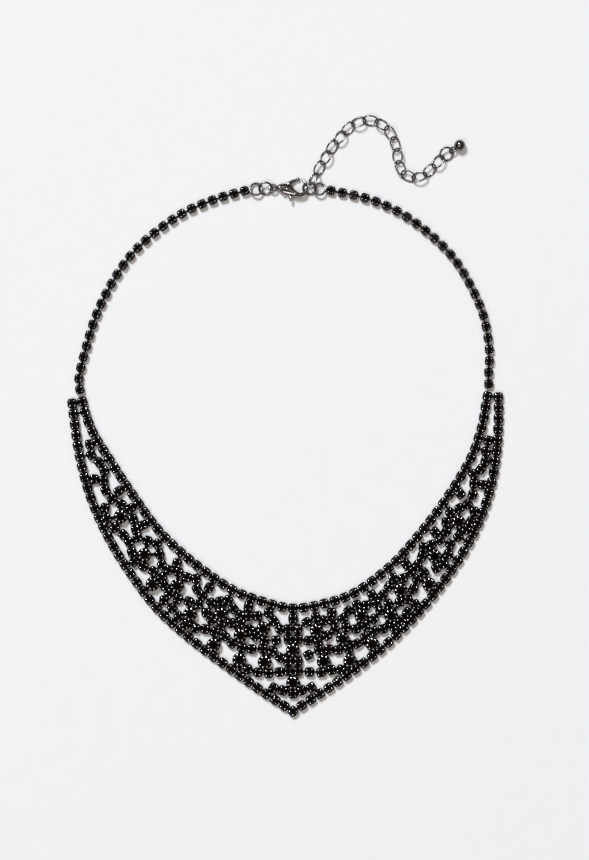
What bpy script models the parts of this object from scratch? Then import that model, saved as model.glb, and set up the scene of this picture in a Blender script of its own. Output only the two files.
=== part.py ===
"""Bib necklace of black cut stones in gunmetal cups, laid flat with its clasp fastened.

The origin is under the middle cup of the neckline, on the surface that the necklace lies on.
+Y runs towards the clasp, +X to the side that carries the extender, +Z up off the surface.
Lengths are metres. The charts and routes are in millimetres, as (x, y) on the surface.
"""
from math import copysign, cos, pi, radians, sin, tau

import bmesh
import bpy
from mathutils import Matrix, Vector

MM = 0.001

# Small stones, each in a square cup
CUP_WIDTH = 2.6 * MM
CUP_HEIGHT = 1.5 * MM
STONE_RISE = 0.62 * MM
TABLE_WIDTH = 1.45 * MM
STONE_SIDES = 8
BORDER_PITCH = 3.22 * MM
NECK_PITCH = 3.4 * MM
JOIN_REACH = 0.7 * MM

# Large stones, each in a round claw setting
SETTING_DIAMETER = 4.2 * MM
SETTING_HEIGHT = 2.0 * MM
LARGE_STONE_RISE = 0.9 * MM
LARGE_TABLE_WIDTH = 2.3 * MM
SETTING_SIDES = 8

# Flat bars under the cups, which carry the large stones and the middle column
BAR_WIDTH = 1.0 * MM
BAR_TOP = 1.0 * MM
BAR_BOTTOM = 0.3 * MM

# The bib leans to the left as it nears the neck
LEAN = 3.0 * MM
LEAN_START = -9.6 * MM
LEAN_SPAN = 72.0 * MM

# Rings at the clasp, in a row from its eye and from its hook to the ends of the neck chains
CHAIN_GAP = 0.4 * MM
RING_LEVEL = 1.35 * MM
RING_PASS = 0.9 * MM
HELD_WIRE_REACH = 3.0 * MM
JUMP_RING_FALL = 0.1 * MM
END_RING_FALL = 0.35 * MM
END_RING_RADIUS = 1.83 * MM
END_RING_WIRE = 0.65 * MM
END_RING_ROLL = radians(-16)
JUMP_RING_RADIUS = 1.95 * MM
JUMP_RING_WIRE = 0.6 * MM
JUMP_RING_ROLL = radians(30)
RING_SIDES = 14
WIRE_SIDES = 5

# Extender chain, its last ring and its ball
LINK_LENGTH = 4.9 * MM
LINK_WIDTH = 3.7 * MM
LINK_WIRE = 0.5 * MM
LINK_PITCH = 3.64 * MM
LINK_ROLL = radians(33)
FIRST_LINK_ROLL = radians(-56)
FIRST_LINK_SIDE = 0.35 * MM
FIRST_LINK_PASS = 0.49 * MM
LINK_LEVEL = 1.2 * MM
LINK_SIDES = 10
LINK_WIRE_SIDES = 5
DROP_RING_RADIUS = 2.0 * MM
DROP_RING_WIRE = 0.6 * MM
DROP_RING_ROLL = radians(25)
DROP_RING_PASS = 0.4 * MM
BALL_DIAMETER = 3.4 * MM
BALL_SIDES = 10
DROP_HEADING = radians(33)
BALL_LOOP_RADIUS = 0.95 * MM
BALL_LOOP_WIRE = 0.44 * MM
BALL_LOOP_ROLL = radians(-30)
BALL_LOOP_SINK = 0.1 * MM
PASSING_GAP = 0.3 * MM

# Lobster clasp, drawn in its own plane
CLASP_ROLL = radians(-14)
EYE_RADIUS = 1.1 * MM
EYE_WIRE = 0.6 * MM
CLASP_HALF_DEPTH = 0.98 * MM
SLOT_THICKNESS = 1.3 * MM
SLOT_HEIGHT = 8.0 * MM

# Borders of the bib, each side from the middle to the top corner, as (distance from the middle, y)
LEFT_NECKLINE = ((0, 0), (9.5, 2.2), (18.6, 5.9), (29.3, 13.5), (39, 22.6), (46.5, 33.3), (53.3, 44.6),
                 (57.7, 52.6), (59.6, 58.6), (60.4, 63.5))
RIGHT_NECKLINE = ((0, 0), (9.8, 1.5), (19, 4.9), (29.8, 12.9), (38.9, 22.7), (47.4, 33.4), (54.9, 44.8),
                  (58.8, 54), (60.4, 60), (61.8, 65.1))
LEFT_EDGE = ((0, -30.9), (2.2, -29.5), (9.6, -24.6), (20.1, -17.1), (30.6, -9.2), (40.5, -0.2),
             (47.9, 9.6), (54.4, 20.5), (59.4, 32.6), (62.1, 44.8), (63, 55), (63.3, 63))
RIGHT_EDGE = ((0, -30.9), (2.3, -29.3), (10, -24.3), (20.2, -17.1), (29.8, -9.1), (39, 0.4),
              (47.1, 10.6), (54, 21.3), (59.4, 33.2), (62.5, 45.3), (64, 56), (64.7, 64.9))

# Strands of the left field, cup by cup: the first and last points lie on cups of other strands
LEFT_FIELD = {
    "first_curl": ((1.45, -6.2), (3.9, -6.2), (5.7, -3.8), (7.3, -1.4), (6.2, 1.3)),
    "leaves": ((7.3, -1.4), (10.6, -2.3), (13.2, -2.4), (15.8, -2), (17.8, -0.1), (19.4, 2.4),
               (21.8, 2.1), (24.4, 1.6), (26, -1.3), (24.4, -3.5), (21.5, -5.2), (18.5, -4.4),
               (15.7, -4.3), (13, -6.2), (11.4, -8.4), (8.6, -9.7), (5.1, -9.6), (1.45, -9.3)),
    "leaf_tie": ((13.2, -2.4), (13.3, 0.5), (12.5, 3.4)),
    "curl_tie": ((24.5, 9.2), (25, 6.2), (27.1, 3.8), (28.4, 1.2), (26, -1.3)),
    "side_leaf": ((28.4, 1.2), (31.2, 2.1), (34.4, 2.8), (36.9, 4.4)),
    "inner_vine": ((27.1, 3.8), (28.7, 5.8), (28.9, 8.9), (31.5, 9.3), (34.1, 10.8), (36.9, 11.5),
                   (38.9, 13), (39.6, 16.2), (40.3, 19.3), (43.1, 20.3), (46, 21.2), (46.5, 23.6),
                   (47.2, 26.7), (47.8, 29.9), (50.6, 31.3), (53.2, 32.8), (55, 35.3), (55.5, 38.2),
                   (55.1, 41.2), (56.5, 43.8), (58.7, 46), (58.9, 49.1)),
    "outer_vine": ((38.6, 2.4), (36.9, 4.4), (38.5, 6.8), (39.1, 9.2), (41.6, 11.1), (44.5, 12.6),
                   (47.2, 14), (47.9, 16.8), (48.6, 19.8), (50.3, 22.1), (52.7, 24.2), (55, 26.8),
                   (55.4, 30.1), (53.2, 32.8)),
    "long_stem": ((1.45, -15.8), (3.8, -14.8), (6.2, -12.8), (9.1, -12.1), (12.4, -12.2),
                  (15.3, -11.8), (18.3, -10.5), (20.5, -8.3), (23.4, -7.1), (26.3, -6.2), (29.2, -5.9),
                  (32, -4.8), (34.1, -2.5), (36.1, 0.1), (38.6, 2.4), (41.3, 1)),
    "vine_tie": ((34.1, 10.8), (34.5, 13.5), (32.8, 16)),
    "eye_tie": ((41, 25.4), (44.3, 24.9), (46.5, 23.6)),
    "upper_tie": ((48.2, 36.3), (51.1, 35.1), (53.2, 32.8)),
    "top_step": ((55.5, 38.2), (58.2, 38.7), (61.1, 38.4)),
    "top_rung": ((56.2, 49.8), (58.9, 49.2), (62.5, 48.6)),
    "lower_leaf": ((1.45, -18.8), (4.1, -19.1), (7.3, -19.5), (10.5, -19.2), (13.5, -18.3), (14.9, -20.9)),
    "tip_leaf": ((0, -25.6), (3, -24.6), (5.8, -23.8), (8.2, -25.5)),
}

# Strands of the right field, in the same way
RIGHT_FIELD = {
    "first_curl": ((1.45, -6.2), (4.1, -4.2), (6.8, -2.7), (9.4, -3.6), (12, -4), (12.5, -6.4),
                   (10.2, -8.2), (7.5, -10.1), (4.6, -9.7), (1.45, -9.3)),
    "curl_tie": ((12, -4), (11.6, -1.3), (11.9, 2.1)),
    "middle_leaf": ((12, -4), (15, -3), (16.7, -0.7), (19.2, 1), (22, 0.9), (25, 1.5), (26.2, -0.6),
                    (24.2, -3.2), (21.6, -5.1), (18.8, -6.2), (15.9, -5.7), (12.5, -6.4)),
    "leaf_tie": ((25, 1.5), (23.8, 4), (21.9, 6.6)),
    "side_leaf": ((26.2, -0.6), (28.7, 1.2), (32, 1.8), (34.5, 2.6), (36.7, 1.2)),
    "inner_vine": ((25, 1.5), (27, 4), (28.9, 6.6), (30.3, 9), (33.2, 9), (35.5, 10.9), (37.5, 12.9),
                   (39, 15.5), (39.5, 18.3), (41.9, 19), (44.6, 20.5), (46.5, 23), (46.6, 25.8),
                   (48, 28.7), (50.8, 30), (53.3, 31.2), (54.9, 34.1), (55.5, 37.4), (55.5, 40.1),
                   (57.8, 41.7), (59.3, 44.1), (59.7, 47), (60.6, 50.3)),
    "outer_leaf": ((34.5, 2.6), (36.2, 5.8), (37.4, 8.7), (39.5, 10.8), (37.5, 12.9)),
    "outer_vine": ((41.9, 11.6), (43.2, 12), (45.4, 13.4), (46.8, 16.2), (47.6, 19.2), (50.1, 21.5),
                   (52.5, 23.7), (54, 26), (55.2, 29), (53.3, 31.2)),
    "long_stem": ((1.45, -15.8), (4.6, -14), (7.7, -12.5), (10.7, -12.2), (13.5, -12.5), (16.6, -12.2),
                  (19.1, -10.6), (21.6, -8.6), (24.2, -6.9), (26.9, -6.2), (29.9, -5.4), (32.5, -3.5),
                  (34.3, -1.2), (36.7, 1.2), (39.3, 0.8)),
    "vine_tie": ((35.5, 10.9), (34.2, 13.3), (32.2, 15.2)),
    "eye_tie": ((40.8, 25.2), (43.2, 22.8), (44.6, 20.5)),
    "upper_tie": ((49.4, 36.3), (51.3, 34.3), (53.3, 31.2)),
    "top_step": ((55.5, 37.4), (58.2, 37), (60.9, 36.8)),
    "top_rung": ((58, 51), (60.6, 50.3), (63.4, 49.8)),
    "lower_leaf": ((1.45, -18.8), (4.9, -19.1), (8.4, -19.2), (11.5, -18.5), (14.3, -18.4), (15.9, -20.4)),
    "tip_leaf": ((0, -25.6), (2.6, -24.6), (5.5, -23.7), (7.6, -25.9)),
}

# Large stones of each side: place, and the ends of the bar that carries it
LEFT_LARGE = {
    "first_curl": ((8.9, -6.1), (10.6, -2.3), (8.6, -9.7)),
    "middle_stem": ((15.7, -8.1), (15.7, -4.3), (15.3, -11.8)),
    "middle_leaf": ((21.6, -1.8), (21.8, 2.1), (21.5, -5.2)),
    "lower_leaf": ((8.5, -16.1), (9.1, -12.1), (7.3, -19.5)),
    "lower_edge": ((16.1, -15.4), (15.3, -11.8), (17.4, -19.3)),
    "stem_edge": ((23.8, -10.9), (23.4, -7.1), (24.5, -13.9)),
    "side_leaf": ((30.8, -1.7), (31.2, 2.1), (32, -4.8)),
    "inner_vine": ((34.6, 6.7), (34.1, 10.8), (34.4, 2.8)),
    "outer_vine": ((41.9, 7.3), (38.5, 6.8), (45.6, 6.6)),
    "vine_eye": ((44.1, 16), (44.5, 12.6), (43.1, 20.3)),
    "upper_eye": ((50.8, 27.5), (47.2, 26.7), (55, 26.8)),
}
RIGHT_LARGE = {
    "first_curl": ((7.1, -6.7), (6.8, -2.7), (7.5, -10.1)),
    "middle_stem": ((14.9, -9.2), (15.9, -5.7), (13.5, -12.5)),
    "middle_leaf": ((20.5, -2.3), (19.2, 1), (21.6, -5.1)),
    "lower_leaf": ((9.2, -15.9), (10.7, -12.2), (8.4, -19.2)),
    "lower_edge": ((17.1, -15.7), (16.6, -12.2), (17.9, -18.9)),
    "stem_edge": ((23.8, -10.7), (24.2, -6.9), (24.7, -13.5)),
    "side_leaf": ((29.4, -2.2), (28.7, 1.2), (29.9, -5.4)),
    "inner_vine": ((32.4, 5.4), (33.2, 9), (32, 1.8)),
    "outer_vine": ((40.9, 7.2), (37.4, 8.7), (44.6, 6.9)),
    "vine_eye": ((42.8, 15.6), (39, 15.5), (45.4, 13.4)),
    "upper_eye": ((50.3, 25.8), (46.6, 25.8), (54, 26)),
}

# Short bars where cups of two strands stand side by side
LEFT_TIES = (((60.2, 62.1), (63.3, 61.8)), ((55.1, 41.2), (51.8, 41.8)), ((58.7, 46), (62.3, 45.6)),
             ((47.8, 29.9), (44.6, 30.5)), ((48.6, 19.8), (46, 21.2)), ((40.3, 19.3), (37, 20.2)),
             ((55.4, 30.1), (58.5, 29.8)))
RIGHT_TIES = (((61.4, 63.7), (64.6, 63.6)), ((55.5, 40.1), (52.8, 41.5)), ((59.7, 47), (62.9, 47)),
              ((48, 28.7), (45.1, 30.2)))

# Middle column: heights of the crosswise pairs, the single cups and the large stones
COLUMN_PAIRS = (-6.2, -9.3, -15.8, -18.8)
COLUMN_PAIR_HALF = 2.9
COLUMN_SINGLES = (-3.1, -25.6)
COLUMN_LARGE = (-12.55, -22.3)
COLUMN_ENDS = (0, -30.9)

# Routes of the chains, as they lie: from the bib to the clasp, and from the clasp to the ball
LEFT_NECK = ((-64.2, 69), (-61.9, 78.7), (-58.8, 88.4), (-54.1, 97.9), (-48.3, 106.2), (-40.8, 113.1),
             (-32, 119), (-22.2, 123))
RIGHT_NECK = ((58.6, 70.8), (58.8, 77.5), (57.1, 87.5), (53, 97.1), (47.6, 105.6), (40.2, 112.8),
              (31.5, 118.9), (21.9, 122.9))
EXTENDER = ((9.7, 135), (13.8, 140.9), (18.6, 145.4), (23.4, 146.3), (28, 144.1), (30.9, 138.8),
            (31.5, 133.6), (33.4, 129.8), (37.4, 128.8), (41, 131.1), (44.65, 135.25))
CLASP_PLACE = (0, 125.9)

# Clasp outlines from its own centre: x, y and half thickness along the middle line
EYE_PLACE = (-6.05, 0)
HOOK = ((-4.95, 0.1, 0.6), (-3.6, 0.1, 1.35), (-2.4, -0.25, 1.95), (-1.2, -0.7, 1.75),
        (0, -1.4, 1.25), (1.4, -2.05, 0.85), (2.7, -2.1, 0.65), (3.85, -1.4, 0.55), (4.2, 0, 0.5),
        (4.05, 1.4, 0.45), (3.2, 2.4, 0.42))
LEVER = ((-0.8, -3.6, 0.36), (-1.15, -2.5, 0.42), (-1.7, -0.6, 0.48), (-1.6, 0.6, 0.48),
         (-0.8, 1.5, 0.48), (0.7, 2.05, 0.44), (2.3, 2.28, 0.38))
LEVER_PIVOT = (-1.7, -0.6)
SLOT_ENDS = (-2.9, -0.15)

ROUTE_STEPS = 24
LEVEL_ANGLE = radians(0.5)
CLASP_STEPS = 2
GUNMETAL = (0.07, 0.07, 0.08)
JET = (0.006, 0.006, 0.008)


def clear_scene():
    for thing in list(bpy.data.objects):
        bpy.data.objects.remove(thing, do_unlink=True)


def new_collection(name):
    collection = bpy.data.collections.new(name)
    bpy.context.scene.collection.children.link(collection)
    return collection


def make_material(name, colour, roughness, metallic):
    material = bpy.data.materials.new(name)
    material.use_nodes = True
    shader = material.node_tree.nodes["Principled BSDF"]
    shader.inputs["Base Color"].default_value = (*colour, 1)
    shader.inputs["Roughness"].default_value = roughness
    shader.inputs["Metallic"].default_value = metallic
    return material


def add_object(name, mesh, material, collection):
    thing = bpy.data.objects.new(name, mesh)
    mesh.materials.clear()
    mesh.materials.append(material)
    collection.objects.link(thing)
    return thing


def add_helper(name, mesh, collection):
    """A shape that is only joined to another or cut from it"""
    helper = bpy.data.objects.new(name, mesh)
    helper.hide_render = True
    helper.display_type = "WIRE"
    collection.objects.link(helper)
    return helper


def combine(thing, operation, helper, overlaps_itself=False):
    modifier = thing.modifiers.new(operation.lower(), "BOOLEAN")
    modifier.operation = operation
    modifier.solver = "EXACT"
    modifier.use_self = overlaps_itself
    modifier.object = helper


# Routes

def flat(point):
    return Vector((point[0] * MM, point[1] * MM, 0))


def lean(point):
    """Where a point of the straight chart lies once the bib leans"""
    rise = max(point.y - LEAN_START, 0) / LEAN_SPAN
    return point - Vector((LEAN * rise * rise, 0, 0))


def on_side(points, side):
    """A strand of the right side, or with -1 of the left, as it lies"""
    return [lean(flat((side * x, y))) for x, y in points]


def smooth_route(points, steps=ROUTE_STEPS):
    """A Catmull-Rom curve through the points, as short steps"""
    ends = [2 * points[0] - points[1], *points, 2 * points[-1] - points[-2]]
    route = [points[0]]
    for before, start, end, after in zip(ends, ends[1:], ends[2:], ends[3:]):
        for step in range(1, steps + 1):
            t = step / steps
            bend = 2 * before - 5 * start + 4 * end - after
            twist = 3 * start - before - 3 * end + after
            route.append(0.5 * (2 * start + (end - before) * t + bend * t ** 2 + twist * t ** 3))
    return route


def route_length(route):
    return sum((end - start).length for start, end in zip(route, route[1:]))


def along(route, distance):
    """The point at a distance along a route, and the direction there"""
    for start, end in zip(route, route[1:]):
        step = (end - start).length
        if distance <= step or end is route[-1]:
            break
        distance -= step
    direction = (end - start).normalized()
    return start + direction * distance, direction


def facing(place, direction, roll=0):
    """The matrix that puts a shape drawn along +X at a place, along a direction, rolled about it"""
    sideways = Vector((0, 0, 1)).cross(direction).normalized()
    turn = Matrix((direction.normalized(), sideways, direction.cross(sideways).normalized())).transposed()
    return Matrix.Translation(place) @ turn.to_4x4() @ Matrix.Rotation(roll, 4, "X")


# Stones, cups and bars

def polygon(sides, width, level):
    """A regular outline, measured across its flats"""
    radius = width / 2 / cos(pi / sides)
    turns = [tau * (side + 0.5) / sides for side in range(sides)]
    return [Vector((radius * cos(turn), radius * sin(turn), level)) for turn in turns]


def add_hull(shape, place, points):
    corners = [shape.verts.new(place @ point) for point in points]
    bmesh.ops.convex_hull(shape, input=corners)


def add_cups(shape, route, joints, centres):
    """Square cups that share their end walls, each with a stone of a table and 8 crown facets"""
    half = CUP_WIDTH / 2
    corners = ((half, 0), (-half, 0), (-half, CUP_HEIGHT), (half, CUP_HEIGHT))
    walls = []
    for distance in joints:
        turn = facing(*along(route, distance))
        walls.append([shape.verts.new(turn @ Vector((0, y, z))) for y, z in corners])
    shape.faces.new(walls[0])
    shape.faces.new(walls[-1])
    for back, front, distance in zip(walls, walls[1:], centres):
        for near, far in ((0, 1), (1, 2), (3, 0)):
            shape.faces.new((back[near], back[far], front[far], front[near]))
        turn = facing(*along(route, distance))
        outline = polygon(STONE_SIDES, TABLE_WIDTH, CUP_HEIGHT + STONE_RISE)
        table = [shape.verts.new(turn @ point) for point in outline]
        shape.faces.new(table)
        rim = (front[3], back[3], back[2], front[2])
        for index, corner in enumerate(rim):
            first, second, third = (table[(2 * index + step) % STONE_SIDES] for step in range(3))
            shape.faces.new((corner, first, second))
            shape.faces.new((corner, second, third, rim[(index + 1) % 4]))


def add_large_stone(shape, place):
    """A round setting and its stone, with a table and a facet for each side"""
    bottom = polygon(SETTING_SIDES, SETTING_DIAMETER, 0)
    rim = polygon(SETTING_SIDES, SETTING_DIAMETER, SETTING_HEIGHT)
    table = polygon(SETTING_SIDES, LARGE_TABLE_WIDTH, SETTING_HEIGHT + LARGE_STONE_RISE)
    add_hull(shape, Matrix.Translation(place), bottom + rim + table)


def add_bar(shape, start, end):
    length = (end - start).length
    half = BAR_WIDTH / 2
    corners = [Vector((x, y, z)) for x in (0, length) for y in (-half, half) for z in (BAR_BOTTOM, BAR_TOP)]
    add_hull(shape, facing(start, end - start), corners)


def add_strand(shape, points):
    """Cups at the inner points of a strand, whose two ends lie on cups of other strands"""
    route = smooth_route(points)
    places = [route_length(route[:index * ROUTE_STEPS + 1]) for index in range(len(points))]
    joints = [(near + far) / 2 for near, far in zip(places, places[1:])]
    joints[0] -= JOIN_REACH
    joints[-1] += JOIN_REACH
    add_cups(shape, route, joints, places[1:-1])


def add_border(shape, left, right, pitch):
    """Cups along both halves of a border, with one cup on the point where they meet"""
    route = smooth_route(left[:0:-1] + right)
    corner = (len(left) - 1) * ROUTE_STEPS
    middle, far = (route_length(half) for half in (route[:corner + 1], route[corner:]))
    joints = []
    centres = [middle]
    for start, length, way in ((middle, middle, -1), (middle, far, 1)):
        count = round(length / pitch - 0.5)
        spacing = length / (count + 0.5)
        joints += [start + way * spacing * (index + 0.5) for index in range(count + 1)]
        centres += [start + way * spacing * (index + 1) for index in range(count)]
    add_cups(shape, route, sorted(joints), sorted(centres))


def add_chain(shape, points, pitch):
    """Cups that fill a route from one end to the other"""
    route = smooth_route(points)
    length = route_length(route)
    count = round(length / pitch)
    spacing = length / count
    add_cups(shape, route, [index * spacing for index in range(count + 1)],
             [(index + 0.5) * spacing for index in range(count)])
    return along(route, length)


def to_mesh(shape, name):
    bmesh.ops.recalc_face_normals(shape, faces=shape.faces)
    mesh = bpy.data.meshes.new(name)
    shape.to_mesh(mesh)
    shape.free()
    return mesh


# Bib

def add_column(shape):
    """The middle column: a cup or a crosswise pair of cups at each height, and two large stones"""
    for y in COLUMN_SINGLES:
        half = BORDER_PITCH / MM / 2
        add_chain(shape, [flat((0, y - half)), flat((0, y + half))], BORDER_PITCH)
    for y in COLUMN_PAIRS:
        add_chain(shape, [flat((-COLUMN_PAIR_HALF, y)), flat((COLUMN_PAIR_HALF, y))], COLUMN_PAIR_HALF * MM)
    for y in COLUMN_LARGE:
        add_large_stone(shape, flat((0, y)))


def make_bib(material, collection, helpers):
    """The whole pierced front: borders, field and column, soldered into one piece"""
    cups = bmesh.new()
    bars = bmesh.new()
    add_column(cups)
    add_bar(bars, *[flat((0, y)) for y in COLUMN_ENDS])
    for left, right in ((LEFT_NECKLINE, RIGHT_NECKLINE), (LEFT_EDGE, RIGHT_EDGE)):
        add_border(cups, on_side(left, -1), on_side(right, 1), BORDER_PITCH)
    for side, strands, large, ties in ((-1, LEFT_FIELD, LEFT_LARGE, LEFT_TIES),
                                       (1, RIGHT_FIELD, RIGHT_LARGE, RIGHT_TIES)):
        for points in strands.values():
            add_strand(cups, on_side(points, side))
        for points in large.values():
            place, start, end = on_side(points, side)
            add_large_stone(cups, place)
            add_bar(bars, start, end)
        for points in ties:
            add_bar(bars, *on_side(points, side))
    bib = add_object("bib", to_mesh(cups, "bib"), material, collection)
    combine(bib, "UNION", add_helper("bib_bars", to_mesh(bars, "bib_bars"), helpers), overlaps_itself=True)
    flatten = bib.modifiers.new("merge_level_faces", "DECIMATE")
    flatten.decimate_type = "DISSOLVE"
    flatten.angle_limit = LEVEL_ANGLE


# Rings, links and neck chains

def torus_mesh(name, radius, wire, sides, wire_sides):
    bpy.ops.mesh.primitive_torus_add(major_radius=radius, minor_radius=wire / 2, major_segments=sides,
                                     minor_segments=wire_sides)
    ring = bpy.context.object
    mesh = ring.data
    mesh.name = name
    bpy.data.objects.remove(ring)
    return mesh


def link_mesh():
    """An oval wire link: a ring whose two halves are drawn apart along X"""
    mesh = torus_mesh("link", (LINK_WIDTH - LINK_WIRE) / 2, LINK_WIRE, LINK_SIDES, LINK_WIRE_SIDES)
    stretch = (LINK_LENGTH - LINK_WIDTH) / 2
    for vertex in mesh.vertices:
        vertex.co.x += copysign(stretch, vertex.co.x)
    return mesh


def ring_place(reach, fall=0):
    """A centre at the rings' height, at a distance along X from the clasp's"""
    return flat(CLASP_PLACE) + Vector((reach, -fall, RING_LEVEL))


def jump_ring_reach(side):
    """Where a jump ring's centre is: linked through the eye on the left, held by the hook on the right"""
    if side < 0:
        return EYE_PLACE[0] * MM - (EYE_RADIUS + JUMP_RING_RADIUS - RING_PASS)
    return HELD_WIRE_REACH + JUMP_RING_RADIUS


def make_neck_chain(name, side, neckline, points, material, collection, helpers):
    """A strand of cups from just off the bib's corner to the ring at its end"""
    corner = smooth_route(on_side(neckline, side))
    place, direction = along(corner, route_length(corner))
    reach = jump_ring_reach(side) + side * (JUMP_RING_RADIUS + END_RING_RADIUS - RING_PASS)
    ring_centre = ring_place(reach, END_RING_FALL)
    ring_side = ring_centre + Vector((side * END_RING_RADIUS, 0, -RING_LEVEL))
    cups = bmesh.new()
    add_chain(cups, [place + direction * CHAIN_GAP, *map(flat, points), ring_side], NECK_PITCH)
    chain = add_object(name, to_mesh(cups, name), material, collection)
    ring = torus_mesh(name + "_ring", END_RING_RADIUS, END_RING_WIRE, RING_SIDES, WIRE_SIDES)
    helper = add_helper(name + "_ring", ring, helpers)
    helper.matrix_world = facing(ring_centre, Vector((1, 0, 0)), END_RING_ROLL)
    combine(chain, "UNION", helper)


def make_jump_ring(name, side, material, collection):
    mesh = torus_mesh(name, JUMP_RING_RADIUS, JUMP_RING_WIRE, RING_SIDES, WIRE_SIDES)
    ring = add_object(name, mesh, material, collection)
    centre = ring_place(jump_ring_reach(side), JUMP_RING_FALL)
    ring.matrix_world = facing(centre, Vector((1, 0, 0)), JUMP_RING_ROLL)


def extender_joints():
    """Where each link meets the next, from the jump ring's raised side to the last ring"""
    ring_side = JUMP_RING_RADIUS * cos(JUMP_RING_ROLL) - FIRST_LINK_PASS
    start = ring_place(jump_ring_reach(1) + FIRST_LINK_SIDE, JUMP_RING_FALL - ring_side)
    start.z = 0
    route = smooth_route([start, *map(flat, EXTENDER)])
    length = route_length(route)
    count = round(length / LINK_PITCH)
    joints = [along(route, length * index / count)[0] for index in range(count + 1)]
    for joint in joints:
        joint.z = LINK_LEVEL
    joints[0].z = RING_LEVEL + JUMP_RING_RADIUS * sin(JUMP_RING_ROLL)
    return joints


def make_extender(material, collection):
    joints = extender_joints()
    mesh = link_mesh()
    for index, (start, end) in enumerate(zip(joints, joints[1:])):
        link = add_object(f"extender_link_{index + 1:02d}", mesh, material, collection)
        roll = FIRST_LINK_ROLL if index == 0 else -LINK_ROLL * (-1) ** index
        link.matrix_world = facing((start + end) / 2, end - start, roll)


def make_drop(material, collection, helpers):
    """The ring at the end of the extender, and the ball whose loop passes through it"""
    heading = Vector((cos(DROP_HEADING), sin(DROP_HEADING), 0))
    centre = extender_joints()[-1] + heading * (DROP_RING_RADIUS - DROP_RING_PASS)
    mesh = torus_mesh("extender_ring", DROP_RING_RADIUS, DROP_RING_WIRE, RING_SIDES, WIRE_SIDES)
    ring = add_object("extender_ring", mesh, material, collection)
    ring.matrix_world = facing(centre, heading, DROP_RING_ROLL)
    loop_start = DROP_RING_RADIUS - (DROP_RING_WIRE + BALL_LOOP_WIRE) / 2 - PASSING_GAP
    loop_centre = centre + heading * (loop_start + BALL_LOOP_RADIUS)
    ball_reach = loop_start + 2 * BALL_LOOP_RADIUS + BALL_DIAMETER / 2 - BALL_LOOP_SINK
    ball_centre = centre + heading * ball_reach
    ball_centre.z = BALL_DIAMETER / 2
    shape = bmesh.new()
    bmesh.ops.create_uvsphere(shape, u_segments=BALL_SIDES, v_segments=BALL_SIDES // 2,
                              radius=BALL_DIAMETER / 2)
    ball = add_object("ball_drop", to_mesh(shape, "ball_drop"), material, collection)
    ball.matrix_world = facing(ball_centre, heading)
    loop = add_helper("ball_loop", torus_mesh("ball_loop", BALL_LOOP_RADIUS, BALL_LOOP_WIRE, LINK_SIDES,
                                              LINK_WIRE_SIDES), helpers)
    loop.matrix_world = facing(loop_centre, ball_centre - loop_centre, BALL_LOOP_ROLL)
    combine(ball, "UNION", loop)


# Clasp

def swept_mesh(name, rows, shift=(0, 0)):
    """A round bar, flat where it is thick, along rows of x, y and half thickness in millimetres"""
    curve = bpy.data.curves.new(name, "CURVE")
    curve.dimensions = "3D"
    curve.bevel_depth = MM
    curve.bevel_resolution = 2
    curve.use_fill_caps = True
    route = smooth_route([Vector(row) for row in rows], CLASP_STEPS)
    spline = curve.splines.new("POLY")
    spline.points.add(len(route) - 1)
    for point, (x, y, radius) in zip(spline.points, route):
        point.co = ((x - shift[0]) * MM, (y - shift[1]) * MM, 0, 1)
        point.radius = radius
    bar = bpy.data.objects.new(name, curve)
    bpy.context.scene.collection.objects.link(bar)
    evaluated = bar.evaluated_get(bpy.context.evaluated_depsgraph_get())
    mesh = bpy.data.meshes.new_from_object(evaluated)
    bpy.data.objects.remove(bar)
    shape = bmesh.new()
    shape.from_mesh(mesh)
    bmesh.ops.remove_doubles(shape, verts=shape.verts, dist=0.001 * MM)
    for vertex in shape.verts:
        vertex.co.z = max(min(vertex.co.z, CLASP_HALF_DEPTH), -CLASP_HALF_DEPTH)
    return to_mesh(shape, name)


def make_clasp(material, collection, helpers):
    """The clasp's hook with its eye, slotted for the lever, and the lever on its pivot"""
    plane = bpy.data.objects.new("clasp_plane", None)
    plane.matrix_world = facing(ring_place(0), Vector((1, 0, 0)), CLASP_ROLL)
    collection.objects.link(plane)
    hook = add_object("clasp_hook", swept_mesh("clasp_hook", HOOK), material, collection)
    hook.parent = plane
    eye_mesh = torus_mesh("clasp_eye", EYE_RADIUS, EYE_WIRE, RING_SIDES, WIRE_SIDES)
    eye = add_helper("clasp_eye", eye_mesh, helpers)
    eye.parent = plane
    eye.location = flat(EYE_PLACE)
    combine(hook, "UNION", eye)
    slot_shape = bmesh.new()
    bmesh.ops.create_cube(slot_shape, size=1)
    slot_size = ((SLOT_ENDS[1] - SLOT_ENDS[0]) * MM, SLOT_HEIGHT, SLOT_THICKNESS)
    bmesh.ops.scale(slot_shape, vec=slot_size, verts=slot_shape.verts)
    slot = add_helper("clasp_slot", to_mesh(slot_shape, "clasp_slot"), helpers)
    slot.parent = plane
    slot.location = flat((sum(SLOT_ENDS) / 2, 0))
    combine(hook, "DIFFERENCE", slot)
    pivot = bpy.data.objects.new("lever_pivot", None)
    pivot.parent = plane
    pivot.location = flat(LEVER_PIVOT)
    collection.objects.link(pivot)
    lever = add_object("clasp_lever", swept_mesh("clasp_lever", LEVER, LEVER_PIVOT), material, collection)
    lever.parent = pivot


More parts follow.
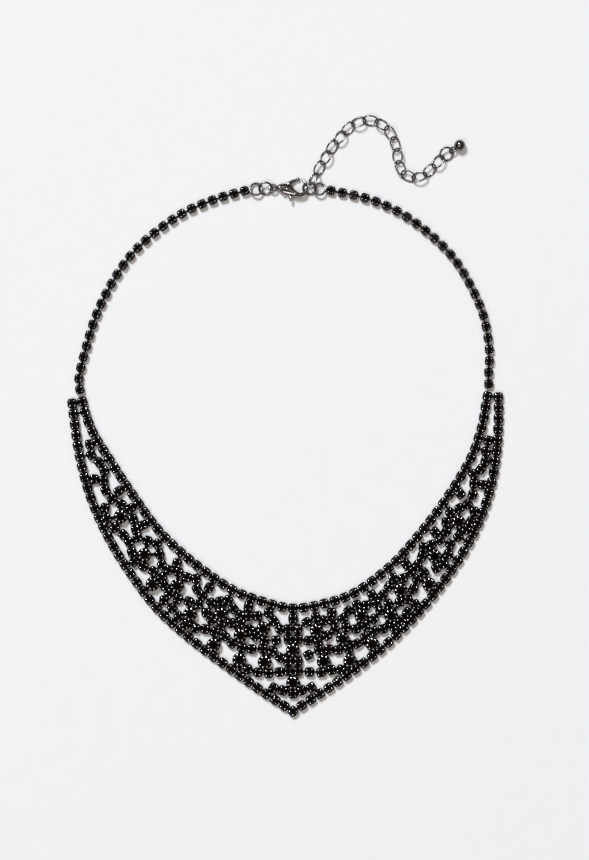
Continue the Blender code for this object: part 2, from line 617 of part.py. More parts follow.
def main():
    clear_scene()
    parts = new_collection("bib_necklace")
    helpers = new_collection("helpers")
    stones = make_material("black_glass_in_gunmetal", JET, 0.15, 0)
    metal = make_material("gunmetal_plate", GUNMETAL, 0.3, 1)
    make_bib(stones, parts, helpers)
    make_neck_chain("neck_chain_left", -1, LEFT_NECKLINE, LEFT_NECK, stones, parts, helpers)
    make_neck_chain("neck_chain_right", 1, RIGHT_NECKLINE, RIGHT_NECK, stones, parts, helpers)
    make_jump_ring("jump_ring_left", -1, metal, parts)
    make_clasp(metal, parts, helpers)
    make_jump_ring("jump_ring_right", 1, metal, parts)
    make_extender(metal, parts)
    make_drop(metal, parts, helpers)


main()
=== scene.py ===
"""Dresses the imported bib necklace: cut jet glass, claw cups, wire rings and the hook clasp.

Metres, in the frame of the solids: +Y towards the clasp, +Z up off the surface it lies on.
Stones, rings and links take their places from the solids that they stand for.
"""
from math import atan2, cos, pi, radians, sin, tau
from random import Random

import bmesh
import bpy
import numpy
from mathutils import Matrix, Vector


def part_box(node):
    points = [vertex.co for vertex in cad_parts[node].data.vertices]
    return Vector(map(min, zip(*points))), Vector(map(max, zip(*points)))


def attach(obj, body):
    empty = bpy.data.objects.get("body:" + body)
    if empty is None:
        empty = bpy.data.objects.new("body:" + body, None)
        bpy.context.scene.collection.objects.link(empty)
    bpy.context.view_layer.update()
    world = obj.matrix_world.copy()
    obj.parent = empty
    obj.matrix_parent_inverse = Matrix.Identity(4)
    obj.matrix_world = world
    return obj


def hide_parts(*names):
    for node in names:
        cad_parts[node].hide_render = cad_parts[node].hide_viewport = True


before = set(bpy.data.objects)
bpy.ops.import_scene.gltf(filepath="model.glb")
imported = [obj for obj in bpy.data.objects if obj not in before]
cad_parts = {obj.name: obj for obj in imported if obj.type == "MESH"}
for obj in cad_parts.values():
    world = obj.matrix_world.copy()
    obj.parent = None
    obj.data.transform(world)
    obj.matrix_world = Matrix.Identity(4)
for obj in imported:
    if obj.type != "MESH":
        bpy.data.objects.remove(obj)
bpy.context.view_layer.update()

MM = 0.001

# Small stones and their square cups, which their claws and walls make wider than the solids
CUP_WIDTH = 2.84 * MM
CUP_CORNER = 0.8 * MM
CUP_RIM = 1.5 * MM
CUP_WALL = 0.18 * MM
SEAT_DEPTH = 0.3 * MM
SMALL_TABLE_LEVEL = 2.12 * MM
TAB_WIDTH = 0.5 * MM
TAB_THICKNESS = 0.3 * MM
TAB_REACH = 3.6 * MM

# Cups that are set cornerwise: the one at the bib's tip and two of the leaves above it
CORNERWISE = ((0, -30.9), (-5.9, -23.8), (5.4, -23.7))
CORNERWISE_REACH = 0.8 * MM

# How far a cup and its stone sit askew, in degrees, and the neck chains' cups against the bib's
CUP_TURN = 2
STONE_LEAN = 2.5
NECK_CUP_SIZE = 0.92

# Large stones and their round claw settings
LARGE_TABLE_LEVEL = 2.9 * MM
SETTING_DIAMETER = 4.2 * MM
SETTING_RIM = 2.0 * MM
TIE_REACH = 4.75 * MM
TIE_WIDTH = 0.9 * MM
TIE_BOTTOM = 0.3 * MM
TIE_TOP = 0.9 * MM

# How the solids' crowns are read: a facet is steep where its normal rises less than this
MERGE_REACH = 0.003 * MM
LEVEL_SLACK = 0.02 * MM
STEEP_FACET = 0.8

# Wire rings and links, as their solids have them, but with stouter jump rings.
# The fine cuts of the open rings are placed in degrees
JUMP_RING_RADIUS = 1.95 * MM
JUMP_RING_WIRE = 0.66 * MM
JUMP_RING_CUTS = (("left", 115), ("right", 285))
END_RING_RADIUS = 1.83 * MM
END_RING_WIRE = 0.65 * MM
END_RING_PLACE = (125.55 * MM, 1.35 * MM)
END_RING_ROLL = radians(-16)
DROP_RING_RADIUS = 2.0 * MM
DROP_RING_WIRE = 0.6 * MM
DROP_RING_CUT = 200
LINK_HALF_WIDTH = 1.6 * MM
LINK_STRETCH = 0.6 * MM
LINK_WIRE = 0.5 * MM
BALL_RADIUS = 1.7 * MM
BALL_HEADING = radians(33)
BALL_REACH = 4.68 * MM
LOOP_REACH = 2.13 * MM
LOOP_RADIUS = 0.95 * MM
LOOP_WIRE = 0.44 * MM
LOOP_ROLL = radians(-30)
COLLAR_RADIUS = 0.5 * MM
COLLAR_WIRE = 0.34 * MM
COLLAR_DEPTH = 0.068 * MM

# Hook clasp in its own plane: x, y and half thickness in millimetres
CLASP_PLACE = Matrix.Translation((0, 125.9 * MM, 1.35 * MM)) @ Matrix.Rotation(radians(-14), 4, "X")
CLASP_HALF_DEPTH = 0.98
EYE_PLACE = (-6.05, 0)
EYE_RADIUS = 1.1 * MM
EYE_WIRE = 0.6 * MM
HOOK = ((-5.05, 0.05, 0.5), (-4.6, 0.1, 0.75), (-3.6, 0.1, 1.3), (-2.4, -0.2, 1.85), (-1.2, -0.7, 1.7),
        (0, -1.45, 1.2), (1.4, -2.05, 0.82), (2.6, -2.1, 0.65), (3.55, -1.5, 0.56), (3.95, -0.2, 0.5),
        (3.85, 1.1, 0.44), (3.4, 2.1, 0.38), (2.7, 2.68, 0.3))
LEVER = ((-0.75, -3.75, 0.34), (-0.75, -3.2, 0.4), (-0.85, -2.4, 0.38), (-1.6, -0.6, 0.5),
         (-1.7, 0.6, 0.6), (-0.95, 1.55, 0.64), (0.2, 2.15, 0.52), (1.35, 2.6, 0.34))
LEVER_KNOB = (1.5, 2.68, 0.62)
RIVET = (-1.7, -0.6, 0.36)
RIVET_PROUD = 0.08
RIVET_EDGE = 0.1

# The lever's slot in the hook: from x to x, the gap between its cheeks, and a cutter wider than the hook
SLOT = (-2.9, -0.15, 1.3)
SLOT_CUTTER = 8


# Materials

def linear(code):
    """A linear colour from an sRGB hex value"""
    parts = [int(code[index:index + 2], 16) / 255 for index in (1, 3, 5)]
    return [part / 12.92 if part <= 0.04045 else ((part + 0.055) / 1.055) ** 2.4 for part in parts] + [1]


def add_node(tree, kind, settings=None, links=None):
    """Adds a shader node, with its settings by property or socket, and links into its sockets"""
    node = tree.nodes.new(kind)
    for key, value in (settings or {}).items():
        if hasattr(node, key):
            setattr(node, key, value)
        else:
            node.inputs[key].default_value = value
    for key, source in (links or {}).items():
        tree.links.new(source, node.inputs[key])
    return node


def new_material(name):
    material = bpy.data.materials.new(name)
    material.use_nodes = True
    material.node_tree.nodes.clear()
    return material, material.node_tree


def set_ramp(node, stops):
    """Colours of a ramp, as places and hex values"""
    ramp = node.color_ramp
    while len(ramp.elements) < len(stops):
        ramp.elements.new(0.5)
    for element, (place, code) in zip(ramp.elements, stops):
        element.position = place
        element.color = linear(code)


def jet_glass():
    """Cut and fire-polished black glass: almost black, a trace of warmth, and mirror-bright facets"""
    material, tree = new_material("jet_glass_cut")
    coordinates = add_node(tree, "ShaderNodeTexCoord")
    # Pressed glass varies a little from stone to stone, a few millimetres apart
    batch = add_node(tree, "ShaderNodeTexNoise", {"Scale": 1 / (4 * MM), "Detail": 1},
                     {"Vector": coordinates.outputs["Object"]})
    tint = add_node(tree, "ShaderNodeValToRGB", None, {"Fac": batch.outputs["Fac"]})
    set_ramp(tint, ((0.3, "#020203"), (0.7, "#0e0808")))
    # Finger smears, 0.8 mm across
    smears = add_node(tree, "ShaderNodeTexNoise", {"Scale": 1 / (0.8 * MM), "Detail": 3},
                      {"Vector": coordinates.outputs["Object"]})
    gloss = add_node(tree, "ShaderNodeMapRange", {"To Min": 0.02, "To Max": 0.08},
                     {"Value": smears.outputs["Fac"]})
    shader = add_node(tree, "ShaderNodeBsdfPrincipled", {"IOR": 1.56},
                      {"Base Color": tint.outputs["Color"], "Roughness": gloss.outputs["Result"]})
    add_node(tree, "ShaderNodeOutputMaterial", None, {"Surface": shader.outputs["BSDF"]})
    return material


def gunmetal_plate(name, dark, bright, smooth, rough):
    """Black nickel over polished brass: a dark mirror with faint haze and fine rubbed grain"""
    material, tree = new_material(name)
    coordinates = add_node(tree, "ShaderNodeTexCoord")
    # Plating haze in 2 mm patches
    haze = add_node(tree, "ShaderNodeTexNoise", {"Scale": 1 / (2 * MM), "Detail": 4},
                    {"Vector": coordinates.outputs["Object"]})
    tone = add_node(tree, "ShaderNodeValToRGB", None, {"Fac": haze.outputs["Fac"]})
    set_ramp(tone, ((0.35, dark), (0.68, bright)))
    # Polishing grain of 0.12 mm, coarser than the real 0.02 mm so that it shows
    grain = add_node(tree, "ShaderNodeTexNoise", {"Scale": 1 / (0.12 * MM), "Detail": 2},
                     {"Vector": coordinates.outputs["Object"]})
    gloss = add_node(tree, "ShaderNodeMapRange", {"To Min": smooth, "To Max": rough},
                     {"Value": grain.outputs["Fac"]})
    relief = add_node(tree, "ShaderNodeBump", {"Strength": 0.1, "Distance": 0.01 * MM},
                      {"Height": grain.outputs["Fac"]})
    shader = add_node(tree, "ShaderNodeBsdfPrincipled", {"Metallic": 1},
                      {"Base Color": tone.outputs["Color"], "Roughness": gloss.outputs["Result"],
                       "Normal": relief.outputs["Normal"]})
    add_node(tree, "ShaderNodeOutputMaterial", None, {"Surface": shader.outputs["BSDF"]})
    return material


def floor_card():
    """Matt white card: even, with no sheen"""
    material, tree = new_material("matt_card")
    coordinates = add_node(tree, "ShaderNodeTexCoord")
    # Soft mottling of the card, 6 mm
    fibre = add_node(tree, "ShaderNodeTexNoise", {"Scale": 1 / (6 * MM), "Detail": 2},
                     {"Vector": coordinates.outputs["Object"]})
    tone = add_node(tree, "ShaderNodeValToRGB", None, {"Fac": fibre.outputs["Fac"]})
    set_ramp(tone, ((0.3, "#f1f2f4"), (0.7, "#f2f3f5")))
    shader = add_node(tree, "ShaderNodeBsdfPrincipled", {"Roughness": 0.9, "Specular IOR Level": 0.1},
                      {"Base Color": tone.outputs["Color"]})
    add_node(tree, "ShaderNodeOutputMaterial", None, {"Surface": shader.outputs["BSDF"]})
    return material


# Meshes and pieces

def to_mesh(shape, name, smooth=0):
    """Finishes a shape: its angles sharper than smooth degrees stay crisp"""
    mesh = bpy.data.meshes.new(name)
    shape.to_mesh(mesh)
    shape.free()
    if smooth:
        mesh.shade_smooth()
        mesh.set_sharp_from_angle(angle=radians(smooth))
    return mesh


def joined(name, parts):
    """One mesh of copies of patterns, given as (pattern, place)"""
    things = []
    for pattern, place in parts:
        thing = bpy.data.objects.new(name, pattern if things else pattern.copy())
        thing.matrix_world = place
        bpy.context.scene.collection.objects.link(thing)
        things.append(thing)
    first = things[0]
    with bpy.context.temp_override(active_object=first, object=first, selected_editable_objects=things,
                                   selected_objects=things):
        bpy.ops.object.join()
    mesh = first.data
    mesh.transform(first.matrix_world)
    bpy.data.objects.remove(first)
    return mesh


def add_piece(name, mesh, material, slot, *nodes, body="necklace"):
    """A finished piece that rides a body and stands for the named solids"""
    mesh.name = name
    mesh.materials.clear()
    mesh.materials.append(material)
    piece = bpy.data.objects.new(name, mesh)
    bpy.context.scene.collection.objects.link(piece)
    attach(piece, body)
    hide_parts(*nodes)
    return piece


def moved(x=0, y=0, z=0, turn=0, tip=0):
    """A place, turned about the vertical, then tipped down at its +X end"""
    return Matrix.Translation((x, y, z)) @ Matrix.Rotation(turn, 4, "Z") @ Matrix.Rotation(tip, 4, "Y")


# Stones, cups and claws

def stone_pattern(name, table, middle, girdle, seat):
    """A cut stone as the hull of its table, star facets' tips, girdle and seat, each (radius, level) in mm"""
    shape = bmesh.new()
    points = []
    for sides, turn, (radius, level) in ((8, pi / 8, table), (8, 0, middle), (16, pi / 16, girdle),
                                         (16, pi / 16, seat)):
        ring = bmesh.ops.create_circle(shape, segments=sides, radius=radius * MM,
                                       matrix=moved(z=level * MM, turn=turn))
        points += ring["verts"]
    bmesh.ops.convex_hull(shape, input=points)
    bmesh.ops.dissolve_limit(shape, angle_limit=radians(1), verts=shape.verts, edges=shape.edges)
    bmesh.ops.recalc_face_normals(shape, faces=shape.faces)
    return to_mesh(shape, name)


def claw_pattern(name, reach, level, tip, length, width, thickness, foot):
    """A claw pressed over a stone's edge: a long flat pad, and the stem that it is bent from, in mm"""
    shape = bmesh.new()
    pad = moved(reach * MM, 0, level * MM, tip=tip) @ Matrix.Diagonal((length, width, thickness, 1))
    bmesh.ops.create_uvsphere(shape, u_segments=8, v_segments=6, radius=0.5 * MM, matrix=pad)
    stem_reach = reach + length * 0.3
    stem = []
    for height, share in ((foot, 0.8), (level, 0.7)):
        place = moved(stem_reach * MM, 0, height * MM)
        ring = bmesh.ops.create_circle(shape, segments=6, radius=width * share * 0.5 * MM, matrix=place)
        stem += ring["verts"]
    bmesh.ops.convex_hull(shape, input=stem)
    bmesh.ops.recalc_face_normals(shape, faces=shape.faces)
    return to_mesh(shape, name, smooth=60)


def hollow_top(shape):
    """Insets the top face for the wall's edge and lowers what is inside it to the stone's seat"""
    top = max(shape.faces, key=lambda face: face.calc_center_median().z)
    bmesh.ops.inset_region(shape, faces=[top], thickness=CUP_WALL, use_even_offset=True)
    bmesh.ops.translate(shape, vec=(0, 0, -SEAT_DEPTH), verts=top.verts)
    bmesh.ops.recalc_face_normals(shape, faces=shape.faces)


def cup_pattern():
    """A square cup with rounded corners, open above"""
    shape = bmesh.new()
    place = Matrix.Translation((0, 0, CUP_RIM / 2)) @ Matrix.Diagonal((CUP_WIDTH, CUP_WIDTH, CUP_RIM, 1))
    bmesh.ops.create_cube(shape, size=1, matrix=place)
    upright = [edge for edge in shape.edges if abs(edge.verts[0].co.z - edge.verts[1].co.z) > CUP_RIM / 2]
    bmesh.ops.bevel(shape, geom=upright, offset=CUP_CORNER, affect="EDGES", segments=3, profile=0.5,
                    material=-1)
    hollow_top(shape)
    return to_mesh(shape, "square_cup", smooth=35)


def setting_pattern():
    """A round setting that widens to its rim, open above"""
    shape = bmesh.new()
    bmesh.ops.create_cone(shape, cap_ends=True, segments=24, radius1=SETTING_DIAMETER * 0.46,
                          radius2=SETTING_DIAMETER / 2, depth=SETTING_RIM,
                          matrix=Matrix.Translation((0, 0, SETTING_RIM / 2)))
    hollow_top(shape)
    return to_mesh(shape, "round_setting", smooth=35)


def strap_pattern():
    """A unit cube, which strap_place draws out to a flat strap"""
    shape = bmesh.new()
    bmesh.ops.create_cube(shape, size=1)
    return to_mesh(shape, "strap")


def strap_place(start, end, width, bottom, top):
    """Where a unit cube becomes a flat strap between two places"""
    along = end - start
    middle = (start + end) / 2
    place = moved(middle.x, middle.y, (bottom + top) / 2, atan2(along.y, along.x))
    return place @ Matrix.Diagonal((along.length, width, top - bottom, 1))


def find_tables(node, level):
    """Place and turn of each stone's table: a crown is steeper over a cup's sides than its corners"""
    shape = bmesh.new()
    shape.from_mesh(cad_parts[node].data)
    bmesh.ops.remove_doubles(shape, verts=shape.verts, dist=MERGE_REACH)
    waiting = {face for face in shape.faces
               if all(abs(vert.co.z - level) < LEVEL_SLACK for vert in face.verts)}
    tables = []
    while waiting:
        table = set()
        edge = [waiting.pop()]
        while edge:
            face = edge.pop()
            table.add(face)
            beside = {other for side in face.edges for other in side.link_faces} & waiting
            waiting -= beside
            edge += beside
        area = sum(face.calc_area() for face in table)
        centre = sum((face.calc_center_median() * face.calc_area() for face in table), Vector()) / area
        across = Vector((0, 0))
        for side in {side for face in table for side in face.edges}:
            for other in set(side.link_faces) - table:
                turn = 4 * atan2(other.normal.y, other.normal.x)
                steep = 1 if other.normal.z < STEEP_FACET else -1
                across += steep * side.calc_length() * Vector((cos(turn), sin(turn)))
        tables.append((Vector((centre.x, centre.y, 0)), atan2(across.y, across.x) / 4))
    shape.free()
    return sorted(tables, key=lambda table: (round(table[0].y, 5), table[0].x))


def near_pairs(starts, ends, reach):
    """Places that lie within reach of each other, each pair once"""
    for index, (start, turn) in enumerate(starts):
        for end, other_turn in (starts[index + 1:] if ends is starts else ends):
            if (end - start).length < reach:
                yield start, end


def set_stones(prefix, node, dice, claw_finish, size=1):
    """Cups, claws, stones and the straps between them, where a solid has its stones"""
    small = find_tables(node, SMALL_TABLE_LEVEL)
    large = find_tables(node, LARGE_TABLE_LEVEL)
    cups = []
    claws = []
    stones = []
    settings = []
    for place, turn in small:
        if any((place - Vector((x, y, 0)) * MM).length < CORNERWISE_REACH for x, y in CORNERWISE):
            turn += pi / 4
        here = moved(*place, turn + dice.gauss(0, radians(CUP_TURN))) @ Matrix.Diagonal((size, size, 1, 1))
        lean = Matrix.Rotation(radians(dice.uniform(-STONE_LEAN, STONE_LEAN)), 4, "X")
        lean = lean @ Matrix.Rotation(radians(dice.uniform(-STONE_LEAN, STONE_LEAN)), 4, "Y")
        cups.append((square_cup, here))
        claws += [(small_claw, here @ moved(turn=tau * (corner + 0.5) / 4)) for corner in range(4)]
        stones.append((small_stone, here @ lean @ moved(turn=dice.uniform(0, tau))))
    for place, turn in large:
        here = moved(*place, dice.uniform(0, tau))
        settings.append((round_setting, here))
        claws += [(large_claw, here @ moved(turn=tau * (step + 0.5) / 8)) for step in range(8)]
        stones.append((large_stone, here))
    cups += [(strap, strap_place(*pair, TAB_WIDTH, 0, TAB_THICKNESS))
             for pair in near_pairs(small, small, TAB_REACH)]
    add_piece(prefix + "_cups", joined("cups", cups), cup_metal, "gunmetal", node)
    add_piece(prefix + "_claws", joined("claws", claws), claw_finish, "gunmetal", node)
    add_piece(prefix + "_stones", joined("stones", stones), jet, "black_glass", node)
    if large:
        settings += [(strap, strap_place(*pair, TIE_WIDTH, TIE_BOTTOM, TIE_TOP))
                     for pair in near_pairs(large, small, TIE_REACH)]
        add_piece(prefix + "_large_settings", joined("settings", settings), cup_metal, "gunmetal", node)


# Wire rings, links and ball

def lie_of(node, long_way=None):
    """A solid's own place: its thinnest way up, and its longest way, or a given one, along X"""
    points = numpy.array([vertex.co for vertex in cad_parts[node].data.vertices])
    middle = (points.max(0) + points.min(0)) / 2
    widths, ways = numpy.linalg.eigh(numpy.cov((points - middle).T))
    up = Vector(ways[:, 0])
    up *= 1 if up.z > 0 else -1
    along = Vector(ways[:, 2]) if long_way is None else Vector(long_way)
    along = (along - up * along.dot(up)).normalized()
    return Matrix.Translation(middle) @ Matrix((along, up.cross(along), up)).transposed().to_4x4()


def ring_pattern(name, radius, wire, opening=0, steps=40):
    """A round wire ring. An opening, in degrees, leaves the fine cut of a jump ring"""
    shape = bmesh.new()
    place = Matrix.Translation((radius, 0, 0)) @ Matrix.Rotation(pi / 2, 4, "X")
    profile = bmesh.ops.create_circle(shape, segments=10, radius=wire / 2, matrix=place)
    edges = list({edge for vert in profile["verts"] for edge in vert.link_edges})
    bmesh.ops.spin(shape, geom=edges + profile["verts"], cent=(0, 0, 0), axis=(0, 0, 1),
                   angle=tau - radians(opening), steps=steps, use_merge=not opening)
    bmesh.ops.holes_fill(shape, edges=shape.edges, sides=0)
    bmesh.ops.recalc_face_normals(shape, faces=shape.faces)
    return to_mesh(shape, name, smooth=50)


def link_pattern():
    """An oval link: a round one drawn out along X"""
    mesh = ring_pattern("oval_link", LINK_HALF_WIDTH, LINK_WIRE, steps=32)
    for vertex in mesh.vertices:
        way = Vector((vertex.co.x, vertex.co.y)).normalized()
        vertex.co.x += LINK_STRETCH * sin(pi / 2 * way.x)
    return mesh


def set_rings():
    """Jump rings, the neck chains' end rings, the extender's links and ring, and the ball"""
    jump_ring = ring_pattern("jump_ring", JUMP_RING_RADIUS, JUMP_RING_WIRE, opening=2.5)
    for side, cut in JUMP_RING_CUTS:
        node = "jump_ring_" + side
        place = lie_of(node, (1, 0, 0)) @ moved(turn=radians(cut))
        add_piece(node + "_wire", joined(node, [(jump_ring, place)]), wire_metal, "gunmetal", node)
    end_ring = ring_pattern("end_ring", END_RING_RADIUS, END_RING_WIRE)
    outside = END_RING_RADIUS + END_RING_WIRE / 2
    for side, node in (("left", "neck_chain_left"), ("right", "neck_chain_right")):
        low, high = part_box(node)
        x = high.x - outside if side == "left" else low.x + outside
        place = Matrix.Translation((x, *END_RING_PLACE)) @ Matrix.Rotation(END_RING_ROLL, 4, "X")
        add_piece("end_ring_" + side, joined(node, [(end_ring, place)]), wire_metal, "gunmetal", node)
    oval = link_pattern()
    for node in sorted(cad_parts):
        if node.startswith("extender_link"):
            place = lie_of(node)
            add_piece(node + "_wire", joined(node, [(oval, place)]), wire_metal, "gunmetal", node)
    drop_ring = ring_pattern("drop_ring", DROP_RING_RADIUS, DROP_RING_WIRE, opening=2)
    ring_place = lie_of("extender_ring", (1, 0, 0))
    cut_place = ring_place @ moved(turn=radians(DROP_RING_CUT))
    add_piece("extender_ring_wire", joined("drop_ring", [(drop_ring, cut_place)]), wire_metal, "gunmetal",
              "extender_ring")
    set_ball(ring_place.translation)


def set_ball(ring_centre):
    """The ball, its collar and the loop soldered into it"""
    heading = Vector((cos(BALL_HEADING), sin(BALL_HEADING), 0))
    ball_centre = ring_centre + heading * BALL_REACH
    ball_centre.z = BALL_RADIUS
    shape = bmesh.new()
    bmesh.ops.create_uvsphere(shape, u_segments=32, v_segments=20, radius=BALL_RADIUS)
    ball = to_mesh(shape, "ball", smooth=60)
    loop_centre = ring_centre + heading * LOOP_REACH
    way = (ball_centre - loop_centre).normalized()
    sideways = Vector((0, 0, 1)).cross(way).normalized()
    turn = Matrix((way, sideways, way.cross(sideways))).transposed().to_4x4()
    loop = ring_pattern("ball_loop", LOOP_RADIUS, LOOP_WIRE, steps=28)
    collar = ring_pattern("ball_collar", COLLAR_RADIUS, COLLAR_WIRE, steps=20)
    collar_place = Matrix.Translation(ball_centre - way * (BALL_RADIUS - COLLAR_DEPTH)) @ turn
    parts = [(ball, Matrix.Translation(ball_centre)),
             (loop, Matrix.Translation(loop_centre) @ turn @ Matrix.Rotation(LOOP_ROLL, 4, "X")),
             (collar, collar_place @ Matrix.Rotation(pi / 2, 4, "Y"))]
    add_piece("ball_drop_polished", joined("ball", parts), wire_metal, "gunmetal", "ball_drop")


# Clasp

def smooth_rows(rows, steps):
    """A Catmull-Rom curve through rows of x, y and half thickness"""
    rows = [Vector(row) for row in rows]
    ends = [2 * rows[0] - rows[1], *rows, 2 * rows[-1] - rows[-2]]
    curve = [rows[0]]
    for before, start, end, after in zip(ends, ends[1:], ends[2:], ends[3:]):
        for step in range(1, steps + 1):
            t = step / steps
            bend = 2 * before - 5 * start + 4 * end - after
            twist = 3 * start - before - 3 * end + after
            curve.append(0.5 * (2 * start + (end - before) * t + bend * t ** 2 + twist * t ** 3))
    return curve


def swept_bar(rows, steps=4, sides=20):
    """A cast bar with domed ends: oval sections bridged along rows of x, y and half thickness, in mm"""
    curve = smooth_rows(rows, steps)
    sections = []
    for index, row in enumerate(curve):
        back = curve[max(index - 1, 0)]
        front = curve[min(index + 1, len(curve) - 1)]
        along = Vector((front.x - back.x, front.y - back.y, 0)).normalized()
        sections.append((Vector((row.x, row.y, 0)), along, row.z))
    start, along, radius = sections[0]
    end, end_along, end_radius = sections[-1]
    domes = ((0.95, 0.3), (0.8, 0.6), (0.5, 0.87), (0.12, 0.99))
    before = [(start - along * radius * far, along, radius * share) for share, far in reversed(domes)]
    after = [(end + end_along * end_radius * far, end_along, end_radius * share) for share, far in domes]
    sections = before + sections + after
    shape = bmesh.new()
    loops = []
    for centre, along, radius in sections:
        sideways = Vector((0, 0, 1)).cross(along)
        turn = Matrix((sideways, Vector((0, 0, 1)), along)).transposed().to_4x4()
        oval = Matrix.Diagonal((radius, min(radius, CLASP_HALF_DEPTH), 1, 1))
        place = Matrix.Scale(MM, 4) @ Matrix.Translation(centre) @ turn @ oval
        ring = bmesh.ops.create_circle(shape, segments=sides, radius=1, matrix=place)
        loops.append(list({edge for vert in ring["verts"] for edge in vert.link_edges}))
    for near, far in zip(loops, loops[1:]):
        bmesh.ops.bridge_loops(shape, edges=near + far)
    bmesh.ops.holes_fill(shape, edges=shape.edges, sides=0)
    bmesh.ops.recalc_face_normals(shape, faces=shape.faces)
    return shape


def cut_slot(mesh):
    """Cuts the lever's slot between the hook's two cheeks"""
    shape = bmesh.new()
    start, end, thickness = SLOT
    block = Matrix.Diagonal(((end - start) * MM, SLOT_CUTTER * MM, thickness * MM, 1))
    place = Matrix.Translation(((start + end) / 2 * MM, 0, 0)) @ block
    bmesh.ops.create_cube(shape, size=1, matrix=place)
    cutter = bpy.data.objects.new("slot_cutter", to_mesh(shape, "slot_cutter"))
    body = bpy.data.objects.new("hook_body", mesh)
    for thing in (cutter, body):
        bpy.context.scene.collection.objects.link(thing)
    cut = body.modifiers.new("slot", "BOOLEAN")
    cut.operation = "DIFFERENCE"
    cut.solver = "EXACT"
    cut.object = cutter
    slotted = bpy.data.meshes.new_from_object(body.evaluated_get(bpy.context.evaluated_depsgraph_get()))
    for thing in (cutter, body):
        bpy.data.objects.remove(thing)
    slotted.shade_smooth()
    slotted.set_sharp_from_angle(angle=radians(35))
    return slotted


def set_clasp():
    """The hook with its eye and rivet, and the lever with its knob"""
    body = cut_slot(to_mesh(swept_bar(HOOK), "hook"))
    eye = ring_pattern("clasp_eye", EYE_RADIUS, EYE_WIRE, steps=32)
    shape = bmesh.new()
    x, y, radius = RIVET
    bmesh.ops.create_cone(shape, cap_ends=True, segments=20, radius1=radius * MM, radius2=radius * MM,
                          depth=2 * (CLASP_HALF_DEPTH + RIVET_PROUD) * MM)
    rims = [edge for edge in shape.edges if len(edge.link_faces) == 2 and edge.calc_face_angle(0) > 1]
    bmesh.ops.bevel(shape, geom=rims, offset=RIVET_EDGE * MM, affect="EDGES", segments=2, profile=0.5,
                    material=-1)
    rivet = to_mesh(shape, "rivet", smooth=40)
    parts = [(body, CLASP_PLACE),
             (eye, CLASP_PLACE @ Matrix.Translation((EYE_PLACE[0] * MM, EYE_PLACE[1] * MM, 0))),
             (rivet, CLASP_PLACE @ Matrix.Translation((x * MM, y * MM, 0)))]
    add_piece("clasp_hook_cast", joined("clasp_hook", parts), clasp_metal, "gunmetal", "clasp_hook")
    bar = to_mesh(swept_bar(LEVER), "lever", smooth=50)
    shape = bmesh.new()
    x, y, radius = LEVER_KNOB
    bmesh.ops.create_uvsphere(shape, u_segments=20, v_segments=12, radius=radius * MM,
                              matrix=Matrix.Translation((x * MM, y * MM, 0)))
    knob = to_mesh(shape, "lever_knob", smooth=60)
    lever = joined("clasp_lever", [(bar, CLASP_PLACE), (knob, CLASP_PLACE)])
    add_piece("clasp_lever_cast", lever, clasp_metal, "gunmetal", "clasp_lever", body="lever")


# The finishes, the patterns that are repeated, and the whole necklace

jet = jet_glass()
cup_metal = gunmetal_plate("black_nickel_cups", "#232224", "#3a393c", 0.16, 0.3)
# The bib's claws are rubbed bright, and the neck chains' keep more of their plate
claw_metal = gunmetal_plate("rubbed_nickel_claws", "#c4c2c5", "#e2e0e3", 0.12, 0.2)
neck_claw_metal = gunmetal_plate("black_nickel_claws", "#939195", "#b0aeb2", 0.12, 0.2)
wire_metal = gunmetal_plate("black_nickel_wire", "#6a6565", "#858080", 0.1, 0.2)
clasp_metal = gunmetal_plate("black_nickel_cast", "#7c7777", "#989393", 0.12, 0.2)

square_cup = cup_pattern()
round_setting = setting_pattern()
strap = strap_pattern()
small_claw = claw_pattern("small_claw", reach=1.08, level=1.9, tip=radians(8), length=0.62, width=0.4,
                          thickness=0.18, foot=0.7)
large_claw = claw_pattern("large_claw", reach=1.58, level=2.5, tip=radians(14), length=1.0, width=0.54,
                          thickness=0.22, foot=0.9)
small_stone = stone_pattern("small_stone", table=(0.66, 2.12), middle=(0.95, 1.95), girdle=(1.14, 1.56),
                            seat=(1.05, 1.22))
large_stone = stone_pattern("large_stone", table=(1.1, 2.9), middle=(1.48, 2.67), girdle=(1.85, 2.05),
                            seat=(1.75, 1.72))

set_stones("bib", "bib", Random(11), claw_metal)
set_stones("neck_left", "neck_chain_left", Random(12), neck_claw_metal, NECK_CUP_SIZE)
set_stones("neck_right", "neck_chain_right", Random(13), neck_claw_metal, NECK_CUP_SIZE)
set_rings()
set_clasp()


# Floor, light and camera

VIEW_CENTRE = (0.45 * MM, 53.4 * MM)
VIEW_HEIGHT = 258 * MM
VIEW_DISTANCE = 1.0

# The floor's half width, in metres
FLOOR_REACH = 12


def add_floor():
    """A wide flat floor, so that low views don't see its edge"""
    shape = bmesh.new()
    bmesh.ops.create_grid(shape, x_segments=4, y_segments=4, size=FLOOR_REACH)
    floor = bpy.data.objects.new("floor", to_mesh(shape, "floor"))
    floor.data.materials.append(floor_card())
    bpy.context.scene.collection.objects.link(floor)


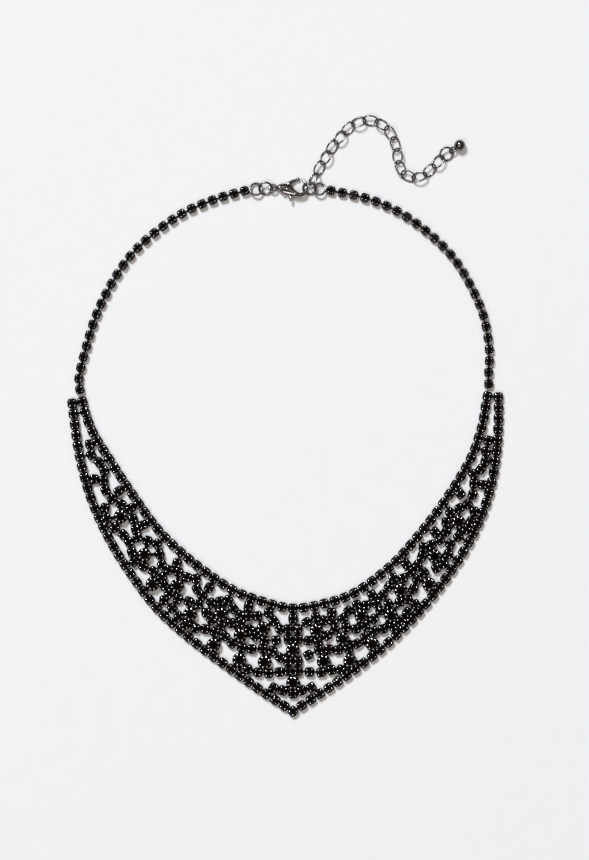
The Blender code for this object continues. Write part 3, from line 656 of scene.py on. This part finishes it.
def add_lamp(name, way, distance, size, power, code):
    """A round soft light that shines on the middle of the view"""
    light = bpy.data.lights.new(name, "AREA")
    light.shape = "DISK"
    light.size = size
    light.energy = power
    light.color = linear(code)[:3]
    lamp = bpy.data.objects.new(name, light)
    way = Vector(way).normalized()
    lamp.location = Vector((*VIEW_CENTRE, 0)) + way * distance
    lamp.rotation_euler = way.to_track_quat("Z", "Y").to_euler()
    bpy.context.scene.collection.objects.link(lamp)


def add_room():
    """A room with a bright band at half height, and a pale underside that only a view from below sees.

    The stones' tables mirror its dark ceiling, and the edges of the wires its dark horizon.
    """
    world = bpy.data.worlds.new("soft_room")
    world.use_nodes = True
    world.node_tree.nodes.clear()
    tree = world.node_tree
    coordinates = add_node(tree, "ShaderNodeTexCoord")
    parts = add_node(tree, "ShaderNodeSeparateXYZ", None, {"Vector": coordinates.outputs["Generated"]})
    height = add_node(tree, "ShaderNodeValToRGB", None, {"Fac": parts.outputs["Z"]})
    set_ramp(height, ((0, "#fff0e3"), (0.02, "#4a4541"), (0.42, "#4a4541"), (0.58, "#fff0e3"),
                      (0.86, "#fff0e3"), (0.95, "#4a4541")))
    glow = add_node(tree, "ShaderNodeBackground", {"Strength": 0.28}, {"Color": height.outputs["Color"]})
    add_node(tree, "ShaderNodeOutputWorld", None, {"Surface": glow.outputs["Background"]})
    bpy.context.scene.world = world


def add_camera():
    """Straight above, as the photograph was taken"""
    camera = bpy.data.cameras.new("overhead")
    camera.sensor_fit = "VERTICAL"
    camera.sensor_height = 36
    camera.lens = 36 * VIEW_DISTANCE / VIEW_HEIGHT
    camera.clip_start = 0.01
    overhead = bpy.data.objects.new("overhead", camera)
    overhead.location = (*VIEW_CENTRE, VIEW_DISTANCE)
    bpy.context.scene.collection.objects.link(overhead)
    bpy.context.scene.camera = overhead


add_floor()
add_room()
# The key lamp throws the shadows, to the lower right. The others put glints all round the claws
add_lamp("key_lamp", way=(-0.32, 0.6, 0.87), distance=6.0, size=1.6, power=296, code="#f4faff")
add_lamp("top_lamp", way=(0.12, 0.22, 0.97), distance=3.0, size=0.5, power=8, code="#fff0e3")
add_lamp("side_lamp", way=(-0.27, -0.34, 0.9), distance=3.0, size=1.2, power=17, code="#fff8f4")
add_camera()
bpy.context.scene.view_settings.view_transform = "Standard"
